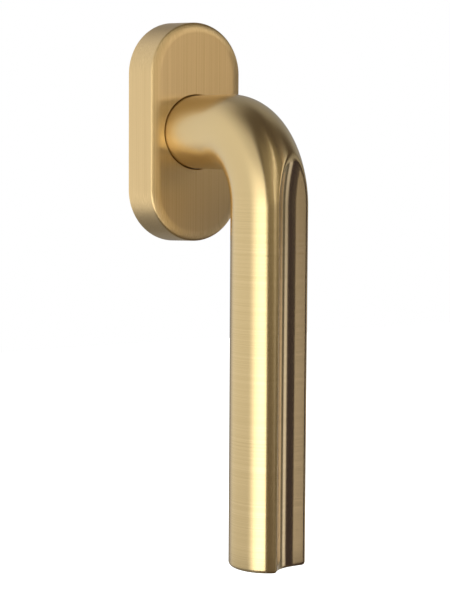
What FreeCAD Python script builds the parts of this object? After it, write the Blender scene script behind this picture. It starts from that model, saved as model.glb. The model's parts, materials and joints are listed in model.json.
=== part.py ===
"""Window handle: an L-shaped brass lever on an oblong rosette, for tilt-and-turn and casement windows.

Frame: millimetres. The sash plane is Y = 0 and the handle stands out of it towards -Y, +Z is up and +X is
to the right of someone who faces the handle. The origin is the neck's axis at the sash plane, and the lever
points down, which is its closed position. "Depth" is the distance from the sash plane into the room.
"""

import FreeCAD
import Part

import math
import os

from FreeCAD import Vector

# Rosette cover: drawn brass shell with rounded ends, wider than the rod by a border on each side
ROSETTE_BORDER = 5.0
SCREW_TO_END = 12.0
ROSETTE_DEPTH = 13.6
ROSETTE_DRAFT = 0.6
ROSETTE_CROWN_RADIUS = 7.0
ROSETTE_CROWN_WIDTH = 3.2
ROSETTE_CORNER_RADIUS = 0.7
COVER_SIDE_WALL = 1.7
COVER_FRONT_WALL = 1.7
COVER_INNER_RADIUS = 1.0
NECK_GAP = 0.2
HOLE_EDGE_RADIUS = 0.3

# Lever: round rod with a straight neck, a quarter bend and a straight grip
ROD_RADIUS = 11.0
NECK_LENGTH = 18.7
BEND_RADIUS = 21.2
GRIP_END = 124.0
END_RADIUS = 1.2

# Facet on the grip's front right: a flat parallel to the window, with a cove up to a ridge
RIDGE_ANGLE = 18.0
FACET_DEPTH = 4.54
COVE_RADIUS = 10.5
COVE_CURVE_RADIUS = 46.0
RIDGE_ROUNDING = 0.4

# Interface with the sash: the usual window-handle pattern
SCREW_SPACING = 43.0
LUG_RADIUS = 5.0
LUG_LENGTH = 8.0
SPINDLE_SIZE = 7.0
SPINDLE_REACH = 21.0
SCREW_RADIUS = 2.5
SCREW_LENGTH = 25.0

# Lever's hidden end, from the journal to the tail
SHOULDER_WIDTH = 2.5
DRIVE_WALL = 2.5
TAIL_RADIUS = 6.0
GROOVE_RADIUS = 5.65
TAIL_LAND = 0.8
SOCKET_DEPTH = 26.5
SPINDLE_GRIP = 25.5
SPINDLE_CORNER_BREAK = 0.25
SPINDLE_END_CHAMFER = 1.0
PIN_RADIUS = 1.5

# Bearing and washers
BUSH_WALL = 1.2
BUSH_FLANGE_WIDTH = 1.95
BUSH_FLANGE = 1.2
BUSH_RECESS = 0.8
WAVE_WASHER_THICKNESS = 0.5
WAVE_WASHER_WIDTH = 2.0
THRUST_WASHER_THICKNESS = 0.5
THRUST_WASHER_WIDTH = 2.2
RING_THICKNESS = 1.0
RING_WIDTH = 2.0
RING_OPENING = 4.0
GUIDE_RING_THICKNESS = 1.15

# Detent: square cam between two leaf springs
POCKET_WALL = 1.6
CAM_THICKNESS = 2.8
CAM_LIFT = 1.9
LEAF_THICKNESS = 0.5
LEAF_OVERHANG = 0.5
LEAF_SLOPE = 6.4
LEAF_END = 1.3
LEAF_SWING_GAP = 0.5

# Base plate: zinc die casting
BASE_FLOOR = 3.0
BASE_WALL = 1.8
CORE_WALL = 1.6
BOSS_WALL = 3.5
BOSS_DEPTH = 7.0
LUG_CHAMFER = 0.6

# Keeper plate at the back
KEEPER_THICKNESS = 0.8
KEEPER_LAP = 0.4
KEEPER_EDGE = 2.0
KEEPER_CORNER = 1.5
KEEPER_SCREW_WALL = 1.0
KEEPER_SCREW_RADIUS = 1.0
KEEPER_SCREW_HEAD = 1.6
KEEPER_SCREW_LENGTH = 5.0
KEEPER_SCREW_SLOT = 0.5

# Fixing screws
SCREW_HEAD_RADIUS = 4.65
SCREW_HEAD_RIM = 0.35
SCREW_HEAD_SINK = 0.3
SCREW_TIP = 0.8
CROSS_WIDTH = 1.1
CROSS_LENGTH = 5.0
CROSS_DEPTH = 2.2

# Cover clips: bent spring steel
CLIP_WIDTH = 6.0
CLIP_THICKNESS = 0.5
CLIP_FOOT = 1.0
CLIP_LEG = 1.2
CLIP_NOSE_RISE = 1.6
CLIP_NOSE_FLAT = 0.6
CLIP_CATCH = 0.35
CATCH_GROOVE = 0.45

# Clearances
BASE_TO_COVER = 0.3
AXIAL_PLAY = 0.05
RUNNING_FIT = 0.05
SEAT_GAP = 0.1
LOOSE_FIT = 0.3
SCREW_CLEARANCE = 0.2

# Bounds for cuts and for comparing places
CUT_MARGIN = 1.0
TOLERANCE = 1e-4

# Rosette and base plate, worked out from the sizes above
ROSETTE_WIDTH = 2 * (ROD_RADIUS + ROSETTE_BORDER)
ROSETTE_HEIGHT = SCREW_SPACING + 2 * SCREW_TO_END
COVER_FRONT_INSIDE = ROSETTE_DEPTH - COVER_FRONT_WALL
NECK_HOLE_RADIUS = ROD_RADIUS + NECK_GAP
GUIDE_RING_RADIUS = ROSETTE_WIDTH / 2 - COVER_SIDE_WALL - COVER_INNER_RADIUS - SEAT_GAP
BASE_FRONT = COVER_FRONT_INSIDE - GUIDE_RING_THICKNESS - AXIAL_PLAY
BASE_WIDTH = ROSETTE_WIDTH - 2 * (COVER_SIDE_WALL + BASE_TO_COVER)
BASE_HEIGHT = ROSETTE_HEIGHT - 2 * (COVER_SIDE_WALL + BASE_TO_COVER)

# Lever
JOURNAL_RADIUS = ROD_RADIUS - SHOULDER_WIDTH
DRIVE_SQUARE = SPINDLE_SIZE + 2 * DRIVE_WALL
BEND_START = ROSETTE_DEPTH + NECK_LENGTH
GRIP_DEPTH = BEND_START + BEND_RADIUS
RIDGE_X = -ROD_RADIUS * math.sin(math.radians(RIDGE_ANGLE))
RIDGE_OUT = ROD_RADIUS * math.cos(math.radians(RIDGE_ANGLE))
FLAT_OUT = ROD_RADIUS - FACET_DEPTH

# Stack of pieces along the neck's axis, by depth
TAIL_END = KEEPER_THICKNESS + SEAT_GAP
GROOVE_REAR = TAIL_END + TAIL_LAND
CAM_REAR = GROOVE_REAR + RING_THICKNESS + SEAT_GAP
CAM_FRONT = CAM_REAR + CAM_THICKNESS
BEARING_REAR = CAM_FRONT + THRUST_WASHER_THICKNESS + AXIAL_PLAY
BUSH_TOP = BASE_FRONT - BUSH_RECESS
BUSH_SEAT = BUSH_TOP - BUSH_FLANGE
SHOULDER = BUSH_TOP + WAVE_WASHER_THICKNESS + AXIAL_PLAY
BUSH_BORE = JOURNAL_RADIUS + RUNNING_FIT
BUSH_RADIUS = BUSH_BORE + BUSH_WALL
BUSH_FLANGE_RADIUS = BUSH_RADIUS + BUSH_FLANGE_WIDTH
PIN_DEPTH = (BEARING_REAR + BUSH_TOP) / 2

# Detent pocket, cam and leaf springs
POCKET_HALF_WIDTH = BASE_WIDTH / 2 - POCKET_WALL
CAM_CORNER_RADIUS = POCKET_HALF_WIDTH - LEAF_THICKNESS - LEAF_SWING_GAP
CAM_HALF = CAM_CORNER_RADIUS - CAM_LIFT
CAM_POCKET_RADIUS = CAM_CORNER_RADIUS + LEAF_THICKNESS + LOOSE_FIT
LEAF_FLAT_HALF = math.sqrt(CAM_CORNER_RADIUS**2 - CAM_HALF**2) + LEAF_OVERHANG
LEAF_HALF = LEAF_FLAT_HALF + LEAF_SLOPE + LEAF_END

# Screws and keeper plate
SCREW_BORE = SCREW_RADIUS + SCREW_CLEARANCE
SCREW_TOP = BOSS_DEPTH - SCREW_HEAD_SINK
BOSS_RADIUS = SCREW_BORE + BOSS_WALL
KEEPER_SCREW_PLACE = CAM_POCKET_RADIUS + KEEPER_SCREW_WALL + KEEPER_SCREW_RADIUS
KEEPER_WIDTH = 2 * (POCKET_HALF_WIDTH + KEEPER_LAP)
KEEPER_HEIGHT = 2 * (KEEPER_SCREW_PLACE + KEEPER_EDGE)
CORE_HEIGHT = 2 * (LEAF_HALF + LOOSE_FIT + CORE_WALL)

# Cover clips
END_POCKET_RADIUS = BASE_WIDTH / 2 - BASE_WALL
CLIP_SET_BACK = END_POCKET_RADIUS - math.sqrt(END_POCKET_RADIUS**2 - (CLIP_WIDTH / 2) ** 2)
CLIP_OUTSIDE = BASE_HEIGHT / 2 - BASE_WALL - CLIP_SET_BACK - SEAT_GAP
CLIP_NOSE_DEPTH = (BASE_FLOOR + BASE_FRONT) / 2
CLIP_NOSE_HALF = CLIP_NOSE_RISE + CLIP_NOSE_FLAT / 2


def at(x, depth, z):
    """Point at a depth into the room."""
    return Vector(x, -depth, z)


def rod(radius, depth_from, depth_to, x=0.0, z=0.0):
    """Cylinder square to the sash plane."""
    return Part.makeCylinder(radius, depth_to - depth_from, at(x, depth_from, z), Vector(0, -1, 0))


def block(width, height, depth_from, depth_to, x=0.0, z=0.0):
    """Box square to the sash plane, centred on x and z."""
    corner = Vector(x - width / 2, -depth_to, z - height / 2)
    return Part.makeBox(width, depth_to - depth_from, height, corner)


def cone(radius_from, radius_to, depth_from, depth_to, z=0.0):
    """Cone square to the sash plane."""
    start = at(0, depth_from, z)
    return Part.makeCone(radius_from, radius_to, depth_to - depth_from, start, Vector(0, -1, 0))


def ring(outer, inner, depth_from, depth_to):
    """Flat ring round the neck's axis."""
    hole = rod(inner, depth_from - CUT_MARGIN, depth_to + CUT_MARGIN)
    return rod(outer, depth_from, depth_to).cut(hole)


def prism(edges, direction):
    """Solid made by moving a closed outline of edges along a direction."""
    return Part.Face(Part.Wire(edges)).extrude(direction)


def line(start, end):
    """Straight edge."""
    return Part.LineSegment(start, end).toShape()


def arc(start, middle, end):
    """Arc through three points."""
    return Part.Arc(start, middle, end).toShape()


def polygon(points):
    """Closed outline of straight edges."""
    return [line(points[i - 1], points[i]) for i in range(len(points))]


def oblong_outline(width, height, depth):
    """Edges of an oblong with fully rounded upper and lower ends."""
    radius = width / 2
    straight = height / 2 - radius
    return [
        line(at(radius, depth, -straight), at(radius, depth, straight)),
        arc(at(radius, depth, straight), at(0, depth, height / 2), at(-radius, depth, straight)),
        line(at(-radius, depth, straight), at(-radius, depth, -straight)),
        arc(at(-radius, depth, -straight), at(0, depth, -height / 2), at(radius, depth, -straight)),
    ]


def oblong(width, height, depth_from, depth_to):
    """Oblong block with fully rounded upper and lower ends."""
    return prism(oblong_outline(width, height, depth_from), Vector(0, depth_from - depth_to, 0))


def strip(points, thickness):
    """Outline of a bent strip: a centre line of (u, v) points, thickened to both sides, corners mitred."""
    sides = ([], [])
    for i, (u, v) in enumerate(points):
        before = points[max(i - 1, 0)]
        after = points[min(i + 1, len(points) - 1)]
        into = unit(u - before[0], v - before[1]) if i > 0 else unit(after[0] - u, after[1] - v)
        away = unit(after[0] - u, after[1] - v) if i < len(points) - 1 else into
        normal = unit(-(into[1] + away[1]), into[0] + away[0])
        reach = thickness / 2 / (normal[0] * -into[1] + normal[1] * into[0])
        sides[0].append((u + reach * normal[0], v + reach * normal[1]))
        sides[1].append((u - reach * normal[0], v - reach * normal[1]))
    return sides[0] + sides[1][::-1]


def unit(u, v):
    """Direction of length 1."""
    length = math.hypot(u, v)
    return (u / length, v / length)


def edges_at_depth(shape, depth):
    """Edges that lie wholly at one depth."""
    return [
        edge
        for edge in shape.Edges
        if edge.BoundBox.YLength < TOLERANCE and abs(edge.BoundBox.YMin + depth) < TOLERANCE
    ]


def cover_outside():
    """Drafted oblong with a crowned front and a tight corner between the two."""
    half = ROSETTE_WIDTH / 2
    straight = ROSETTE_HEIGHT / 2 - half
    room = half - ROSETTE_DRAFT - NECK_HOLE_RADIUS - HOLE_EDGE_RADIUS - SEAT_GAP
    flat = half - ROSETTE_DRAFT - min(ROSETTE_CROWN_WIDTH, room)
    crown = Vector(flat, ROSETTE_DEPTH - ROSETTE_CROWN_RADIUS, 0)
    up_wall = Vector(-ROSETTE_DRAFT, ROSETTE_DEPTH, 0).normalize()
    out_of_wall = Vector(up_wall.y, -up_wall.x, 0)
    corner_line = Vector(half, 0, 0) - out_of_wall * ROSETTE_CORNER_RADIUS
    nearest = (crown - corner_line).dot(up_wall)
    apart = (crown - corner_line).dot(out_of_wall)
    beyond = math.sqrt((ROSETTE_CROWN_RADIUS - ROSETTE_CORNER_RADIUS) ** 2 - apart**2)
    corner = corner_line + up_wall * (nearest + beyond)
    out_of_crown = (corner - crown).normalize()

    def place(centre, radius, direction):
        """Point of the section at a distance from an arc's centre, at the upper end's middle height."""
        point = centre + direction * radius
        return at(point.x, point.y, straight)

    wall_end = place(corner, ROSETTE_CORNER_RADIUS, out_of_wall)
    corner_middle = place(corner, ROSETTE_CORNER_RADIUS, (out_of_wall + out_of_crown).normalize())
    crown_start = place(corner, ROSETTE_CORNER_RADIUS, out_of_crown)
    crown_middle = place(crown, ROSETTE_CROWN_RADIUS, (out_of_crown + Vector(0, 1, 0)).normalize())
    crown_end = at(flat, ROSETTE_DEPTH, straight)
    edges = [
        line(at(0, 0, straight), at(half, 0, straight)),
        line(at(half, 0, straight), wall_end),
        arc(wall_end, corner_middle, crown_start),
        arc(crown_start, crown_middle, crown_end),
        line(crown_end, at(0, ROSETTE_DEPTH, straight)),
        line(at(0, ROSETTE_DEPTH, straight), at(0, 0, straight)),
    ]
    section = Part.Face(Part.Wire(edges))
    upper = section.revolve(at(0, 0, straight), Vector(0, -1, 0), 180)
    lower = upper.mirror(Vector(0, 0, 0), Vector(0, 0, 1))
    right = section.extrude(Vector(0, 0, -2 * straight))
    left = right.mirror(Vector(0, 0, 0), Vector(1, 0, 0))
    return upper.fuse([lower, right, left]).removeSplitter()


def rosette_cover():
    """Hollow cover with a hole for the neck and a catch groove at each end."""
    inside = oblong(
        ROSETTE_WIDTH - 2 * COVER_SIDE_WALL,
        ROSETTE_HEIGHT - 2 * COVER_SIDE_WALL,
        -CUT_MARGIN,
        COVER_FRONT_INSIDE,
    )
    inside = inside.makeFillet(COVER_INNER_RADIUS, edges_at_depth(inside, COVER_FRONT_INSIDE))
    hole = rod(NECK_HOLE_RADIUS, 0, ROSETTE_DEPTH + CUT_MARGIN)
    cover = cover_outside().cut(inside).cut(hole)
    hole_edge = [
        edge
        for edge in edges_at_depth(cover, ROSETTE_DEPTH)
        if abs(edge.BoundBox.ZLength - 2 * NECK_HOLE_RADIUS) < TOLERANCE
    ]
    cover = cover.makeFillet(HOLE_EDGE_RADIUS, hole_edge)
    for side in (1, -1):
        groove = clip_room(side * (ROSETTE_HEIGHT / 2 - COVER_SIDE_WALL), 2 * CATCH_GROOVE)
        cover = cover.cut(groove)
    return cover


def clip_room(z, height):
    """Block that clears a cover clip's nose, for the cover's groove and the base plate's window."""
    reach = CLIP_NOSE_HALF + LOOSE_FIT
    return block(
        CLIP_WIDTH + 2 * LOOSE_FIT, height, CLIP_NOSE_DEPTH - reach, CLIP_NOSE_DEPTH + reach, z=z
    )


def cover_guide_ring():
    """Nylon ring behind the cover's hole."""
    rear = COVER_FRONT_INSIDE - GUIDE_RING_THICKNESS
    return ring(GUIDE_RING_RADIUS, ROD_RADIUS + LOOSE_FIT, rear, COVER_FRONT_INSIDE)


def facet_cutter():
    """Tool that leaves the grip's flat and its cove, which curves to the right along the bend."""
    rise = RIDGE_OUT - FLAT_OUT
    foot_x = RIDGE_X + math.sqrt(2 * COVE_RADIUS * rise - rise**2)
    far = ROD_RADIUS + CUT_MARGIN
    sweep = math.acos(1 - (far - FLAT_OUT) / COVE_RADIUS)

    def place(x, out):
        """Point of the tool's section where the bend begins."""
        return at(x, GRIP_DEPTH + out, -BEND_RADIUS)

    def on_cove(angle):
        """Point of the cove's arc."""
        return place(foot_x - COVE_RADIUS * math.sin(angle), FLAT_OUT + COVE_RADIUS * (1 - math.cos(angle)))

    edges = [
        arc(on_cove(sweep), on_cove(sweep / 2), on_cove(0)),
        line(on_cove(0), place(far, FLAT_OUT)),
        line(place(far, FLAT_OUT), place(far, far)),
        line(place(far, far), on_cove(sweep)),
    ]
    section = Part.Face(Part.Wire(edges))
    straight = section.extrude(Vector(0, 0, BEND_RADIUS - GRIP_END - CUT_MARGIN))
    curved = section.revolve(place(foot_x + COVE_CURVE_RADIUS, 0), Vector(0, 1, 0), 90)
    return straight.fuse(curved)


def lever_outside():
    """Neck, bend and grip with the facet, without the hidden end."""
    neck = rod(ROD_RADIUS, SHOULDER, BEND_START)
    section = Part.Face(Part.Wire(Part.makeCircle(ROD_RADIUS, at(0, BEND_START, 0), Vector(0, 1, 0))))
    bend = section.revolve(at(0, BEND_START, -BEND_RADIUS), Vector(1, 0, 0), 90)
    grip = Part.makeCylinder(
        ROD_RADIUS, GRIP_END - BEND_RADIUS, at(0, GRIP_DEPTH, -BEND_RADIUS), Vector(0, 0, -1)
    )
    body = neck.fuse([bend, grip]).removeSplitter()
    body = body.cut(facet_cutter()).removeSplitter()
    return soften(body)


def soften(body):
    """Rounds the facet's outline and the grip's lower end."""
    ridge = [
        edge
        for edge in body.Edges
        if edge.BoundBox.XLength < TOLERANCE and abs(edge.BoundBox.XMin - RIDGE_X) < TOLERANCE
    ]
    body = body.makeFillet(RIDGE_ROUNDING, ridge)
    end = [
        edge
        for edge in body.Edges
        if edge.BoundBox.ZLength < TOLERANCE and abs(edge.BoundBox.ZMin + GRIP_END) < TOLERANCE
    ]
    return body.makeFillet(END_RADIUS, end)


def lever():
    """Lever with its journal, cam square, tail, ring groove, spindle socket and pin hole."""
    body = lever_outside()
    journal = rod(JOURNAL_RADIUS, CAM_FRONT, SHOULDER)
    drive = block(DRIVE_SQUARE, DRIVE_SQUARE, CAM_REAR, CAM_FRONT).common(
        rod(JOURNAL_RADIUS, CAM_REAR, CAM_FRONT)
    )
    tail = rod(TAIL_RADIUS, TAIL_END, CAM_REAR)
    groove = ring(TAIL_RADIUS + CUT_MARGIN, GROOVE_RADIUS, GROOVE_REAR, CAM_REAR)
    socket_size = SPINDLE_SIZE + 2 * RUNNING_FIT
    socket = block(socket_size, socket_size, TAIL_END - CUT_MARGIN, SOCKET_DEPTH)
    pin_hole = cross_pin(PIN_RADIUS + RUNNING_FIT, JOURNAL_RADIUS + CUT_MARGIN)
    return body.fuse([journal, drive, tail]).cut(groove).cut(socket).cut(pin_hole)


def cross_pin(radius, half_length):
    """Pin along X through the journal."""
    return Part.makeCylinder(radius, 2 * half_length, at(-half_length, PIN_DEPTH, 0), Vector(1, 0, 0))


def spindle_pin():
    """Pin that ties spindle and lever together, held in by the bush."""
    return cross_pin(PIN_RADIUS, JOURNAL_RADIUS - LOOSE_FIT)


def square_spindle():
    """Square bar with broken corners and chamfered end, drilled for the pin."""
    bar = block(SPINDLE_SIZE, SPINDLE_SIZE, -SPINDLE_REACH, SPINDLE_GRIP)
    bar = bar.makeChamfer(SPINDLE_END_CHAMFER, edges_at_depth(bar, -SPINDLE_REACH))
    corner_radius = SPINDLE_SIZE / math.sqrt(2) - SPINDLE_CORNER_BREAK
    bar = bar.common(rod(corner_radius, -SPINDLE_REACH, SPINDLE_GRIP))
    return bar.cut(cross_pin(PIN_RADIUS + RUNNING_FIT, SPINDLE_SIZE))


def journal_bush():
    """Flanged bearing bush."""
    body = ring(BUSH_RADIUS, BUSH_BORE, BEARING_REAR, BUSH_TOP)
    flange = ring(BUSH_FLANGE_RADIUS, BUSH_BORE, BUSH_SEAT, BUSH_TOP)
    return body.fuse(flange).removeSplitter()


def wave_washer():
    """Spring washer under the lever's shoulder, pressed flat."""
    inner = JOURNAL_RADIUS + LOOSE_FIT
    return ring(inner + WAVE_WASHER_WIDTH, inner, BUSH_TOP, BUSH_TOP + WAVE_WASHER_THICKNESS)


def thrust_washer():
    """Washer in front of the cam."""
    inner = JOURNAL_RADIUS + SEAT_GAP
    return ring(inner + THRUST_WASHER_WIDTH, inner, CAM_FRONT, CAM_FRONT + THRUST_WASHER_THICKNESS)


def retaining_ring():
    """Open circlip in the tail's groove."""
    inner = GROOVE_RADIUS + RUNNING_FIT
    body = ring(inner + RING_WIDTH, inner, CAM_REAR - RING_THICKNESS, CAM_REAR)
    opening = block(
        RING_OPENING, inner + 2 * RING_WIDTH, 0, CAM_REAR + CUT_MARGIN, z=-(inner + 2 * RING_WIDTH) / 2
    )
    return body.cut(opening)


def detent_cam():
    """Square cam with rounded corners and a square bore."""
    body = block(2 * CAM_HALF, 2 * CAM_HALF, CAM_REAR, CAM_FRONT)
    body = body.common(rod(CAM_CORNER_RADIUS, CAM_REAR, CAM_FRONT))
    bore = DRIVE_SQUARE + 2 * RUNNING_FIT
    return body.cut(block(bore, bore, CAM_REAR - CUT_MARGIN, CAM_FRONT + CUT_MARGIN))


def detent_spring(side):
    """Bowed leaf spring: its flat lies on the cam, its ends on the pocket's wall."""
    near = CAM_HALF + RUNNING_FIT + LEAF_THICKNESS / 2
    outer = POCKET_HALF_WIDTH - RUNNING_FIT - LEAF_THICKNESS / 2
    half = [(near, LEAF_FLAT_HALF), (outer, LEAF_FLAT_HALF + LEAF_SLOPE), (outer, LEAF_HALF)]
    centre_line = [(x, -z) for x, z in reversed(half)] + half
    rear = KEEPER_THICKNESS + SEAT_GAP
    width = CAM_FRONT - SEAT_GAP - rear
    outline = [at(side * x, rear, z) for x, z in strip(centre_line, LEAF_THICKNESS)]
    return prism(polygon(outline), Vector(0, -width, 0))


def detent_pocket():
    """Space in the back of the base plate for cam, springs and ring."""
    pocket = rod(CAM_POCKET_RADIUS, 0, BEARING_REAR)
    inner = CAM_HALF - LEAF_THICKNESS
    width = POCKET_HALF_WIDTH - inner
    height = 2 * (LEAF_HALF + LOOSE_FIT)
    for side in (1, -1):
        channel = block(width, height, 0, CAM_FRONT, x=side * (POCKET_HALF_WIDTH + inner) / 2)
        pocket = pocket.fuse(channel)
    return pocket


def keeper_outline(clearance):
    """Rounded rectangle of the keeper plate, or of the recess it lies in."""
    plate = block(KEEPER_WIDTH + 2 * clearance, KEEPER_HEIGHT + 2 * clearance, 0, KEEPER_THICKNESS)
    corners = [
        edge
        for edge in plate.Edges
        if edge.BoundBox.XLength < TOLERANCE and edge.BoundBox.ZLength < TOLERANCE
    ]
    return plate.makeFillet(KEEPER_CORNER, corners)


def front_pockets():
    """Hollows in the front of the base plate, above and below the bearing block."""
    top = BASE_FRONT + CUT_MARGIN
    hollow = oblong(BASE_WIDTH - 2 * BASE_WALL, BASE_HEIGHT - 2 * BASE_WALL, BASE_FLOOR, top)
    hollow = hollow.cut(block(BASE_WIDTH, CORE_HEIGHT, 0, top))
    for side in (1, -1):
        hollow = hollow.cut(rod(BOSS_RADIUS, 0, BOSS_DEPTH, z=side * SCREW_SPACING / 2))
        hollow = hollow.fuse(clip_well(side))
    return hollow


def clip_well(side):
    """Room for a cover clip's foot and leg beside the screw boss."""
    inner = CLIP_OUTSIDE - CLIP_THICKNESS - CLIP_FOOT - SEAT_GAP
    outer = CLIP_OUTSIDE + SEAT_GAP
    return block(
        CLIP_WIDTH + 2 * LOOSE_FIT,
        outer - inner,
        BASE_FLOOR,
        BASE_FRONT + CUT_MARGIN,
        z=side * (inner + outer) / 2,
    )


def screw_seat(z):
    """Hole for a countersunk fixing screw, from its head down through the lug."""
    bore = rod(SCREW_BORE, -LUG_LENGTH - CUT_MARGIN, ROSETTE_DEPTH, z=z)
    head = SCREW_HEAD_RADIUS + SCREW_CLEARANCE
    cone_top = SCREW_TOP - SCREW_HEAD_RIM
    sink = cone(SCREW_BORE, head, cone_top - (head - SCREW_BORE), cone_top, z=z)
    return bore.fuse([sink, rod(head, cone_top, ROSETTE_DEPTH, z=z)])


def base_plate():
    """Die-cast body: bearing block, screw bosses, locating lugs, detent pocket and clip windows."""
    body = oblong(BASE_WIDTH, BASE_HEIGHT, 0, BASE_FRONT).cut(front_pockets())
    body = body.cut(detent_pocket()).cut(keeper_outline(SEAT_GAP))
    body = body.cut(rod(BUSH_RADIUS + RUNNING_FIT, 0, BASE_FRONT))
    body = body.cut(rod(BUSH_FLANGE_RADIUS + LOOSE_FIT, BUSH_SEAT, BASE_FRONT + CUT_MARGIN))
    for side in (1, -1):
        z = side * SCREW_SPACING / 2
        lug = rod(LUG_RADIUS, -LUG_LENGTH, 0, z=z)
        lug = lug.makeChamfer(LUG_CHAMFER, edges_at_depth(lug, -LUG_LENGTH))
        body = body.fuse(lug).cut(screw_seat(z))
        body = body.cut(clip_room(side * (BASE_HEIGHT / 2 - BASE_WALL / 2), BASE_WALL + 2 * CUT_MARGIN))
        keeper_hole = rod(
            KEEPER_SCREW_RADIUS + RUNNING_FIT,
            0,
            KEEPER_SCREW_LENGTH + SEAT_GAP,
            z=side * KEEPER_SCREW_PLACE,
        )
        body = body.cut(keeper_hole)
    return body.removeSplitter()


def cover_clip(side):
    """Bent strip that stands in the end pocket and pushes its nose into the cover's groove."""
    half = CLIP_THICKNESS / 2
    leg = CLIP_OUTSIDE - half
    nose = ROSETTE_HEIGHT / 2 - COVER_SIDE_WALL + CLIP_CATCH - half
    low = BASE_FLOOR + SEAT_GAP + half
    centre_line = [
        (leg - CLIP_FOOT, low),
        (leg, low),
        (leg, CLIP_NOSE_DEPTH - CLIP_NOSE_HALF),
        (nose, CLIP_NOSE_DEPTH - CLIP_NOSE_FLAT / 2),
        (nose, CLIP_NOSE_DEPTH + CLIP_NOSE_FLAT / 2),
        (leg, CLIP_NOSE_DEPTH + CLIP_NOSE_HALF),
        (leg, CLIP_NOSE_DEPTH + CLIP_NOSE_HALF + CLIP_LEG),
    ]
    outline = [at(-CLIP_WIDTH / 2, depth, side * z) for z, depth in strip(centre_line, CLIP_THICKNESS)]
    return prism(polygon(outline), Vector(CLIP_WIDTH, 0, 0))


def keeper_plate():
    """Steel plate in the back of the base plate, with a hole for the spindle."""
    front = KEEPER_THICKNESS + CUT_MARGIN
    spindle_hole = rod(SPINDLE_SIZE / math.sqrt(2) + LOOSE_FIT, -CUT_MARGIN, front)
    plate = keeper_outline(0).cut(spindle_hole)
    for side in (1, -1):
        z = side * KEEPER_SCREW_PLACE
        wide = KEEPER_SCREW_HEAD + RUNNING_FIT
        narrow = KEEPER_SCREW_RADIUS + RUNNING_FIT
        plate = plate.cut(cone(wide, narrow, 0, KEEPER_THICKNESS, z=z))
    return plate


def keeper_screw(side):
    """Small countersunk screw with a slot."""
    z = side * KEEPER_SCREW_PLACE
    head = cone(KEEPER_SCREW_HEAD, KEEPER_SCREW_RADIUS, 0, KEEPER_THICKNESS, z=z)
    shank = rod(KEEPER_SCREW_RADIUS, KEEPER_THICKNESS, KEEPER_SCREW_LENGTH, z=z)
    slot = block(2 * KEEPER_SCREW_HEAD, KEEPER_SCREW_SLOT, -CUT_MARGIN, KEEPER_THICKNESS / 2, z=z)
    return head.fuse(shank).cut(slot)


def fixing_screw(side):
    """Countersunk M5 screw with a cross recess; its thread is left plain."""
    z = side * SCREW_SPACING / 2
    cone_top = SCREW_TOP - SCREW_HEAD_RIM
    cone_low = cone_top - (SCREW_HEAD_RADIUS - SCREW_RADIUS)
    tip = SCREW_TOP - SCREW_LENGTH
    body = rod(SCREW_HEAD_RADIUS, cone_top, SCREW_TOP, z=z)
    body = body.fuse(
        [
            cone(SCREW_RADIUS, SCREW_HEAD_RADIUS, cone_low, cone_top, z=z),
            rod(SCREW_RADIUS, tip + SCREW_TIP, cone_low, z=z),
            cone(SCREW_RADIUS - SCREW_TIP, SCREW_RADIUS, tip, tip + SCREW_TIP, z=z),
        ]
    )
    bottom = SCREW_TOP - CROSS_DEPTH
    top = SCREW_TOP + CUT_MARGIN
    across = block(CROSS_LENGTH, CROSS_WIDTH, bottom, top, z=z)
    along = block(CROSS_WIDTH, CROSS_LENGTH, bottom, top, z=z)
    return body.cut(across).cut(along)


def build():
    """All pieces by node name."""
    nodes = {
        "lever": lever(),
        "rosette_cover": rosette_cover(),
        "cover_guide_ring": cover_guide_ring(),
        "base_plate": base_plate(),
        "journal_bush": journal_bush(),
        "wave_washer": wave_washer(),
        "thrust_washer": thrust_washer(),
        "retaining_ring": retaining_ring(),
        "detent_cam": detent_cam(),
        "square_spindle": square_spindle(),
        "spindle_pin": spindle_pin(),
        "keeper_plate": keeper_plate(),
    }
    for name, side in (("left", -1), ("right", 1)):
        nodes["detent_spring_" + name] = detent_spring(side)
    for name, side in (("upper", 1), ("lower", -1)):
        nodes["cover_clip_" + name] = cover_clip(side)
        nodes["keeper_screw_" + name] = keeper_screw(side)
        nodes["fixing_screw_" + name] = fixing_screw(side)
    return nodes


def export(nodes):
    """Writes one STEP file per piece and prints its volume."""
    os.makedirs("parts", exist_ok=True)
    for name, shape in nodes.items():
        if not shape.isValid():
            raise ValueError(name + " is not a valid shape")
        shape.exportStep("parts/" + name + ".step")
        print(f"{name:24s} solids {len(shape.Solids)} volume {shape.Volume:10.2f}")


export(build())
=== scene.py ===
"""Brushed brass window handle: an L-shaped lever on an oblong rosette, dressed for rendering.

Lengths in the classes are millimetres. Meshes are metres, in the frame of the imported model: the sash plane
is Y = 0, the room is towards -Y, +Z is up and the neck's axis passes through the origin. A depth is the
distance from the sash plane into the room.
"""

from __future__ import annotations

import json
import logging
import math
from collections.abc import Callable
from dataclasses import dataclass
from enum import Enum

import bmesh
import bpy
from mathutils import Matrix, Vector


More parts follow.
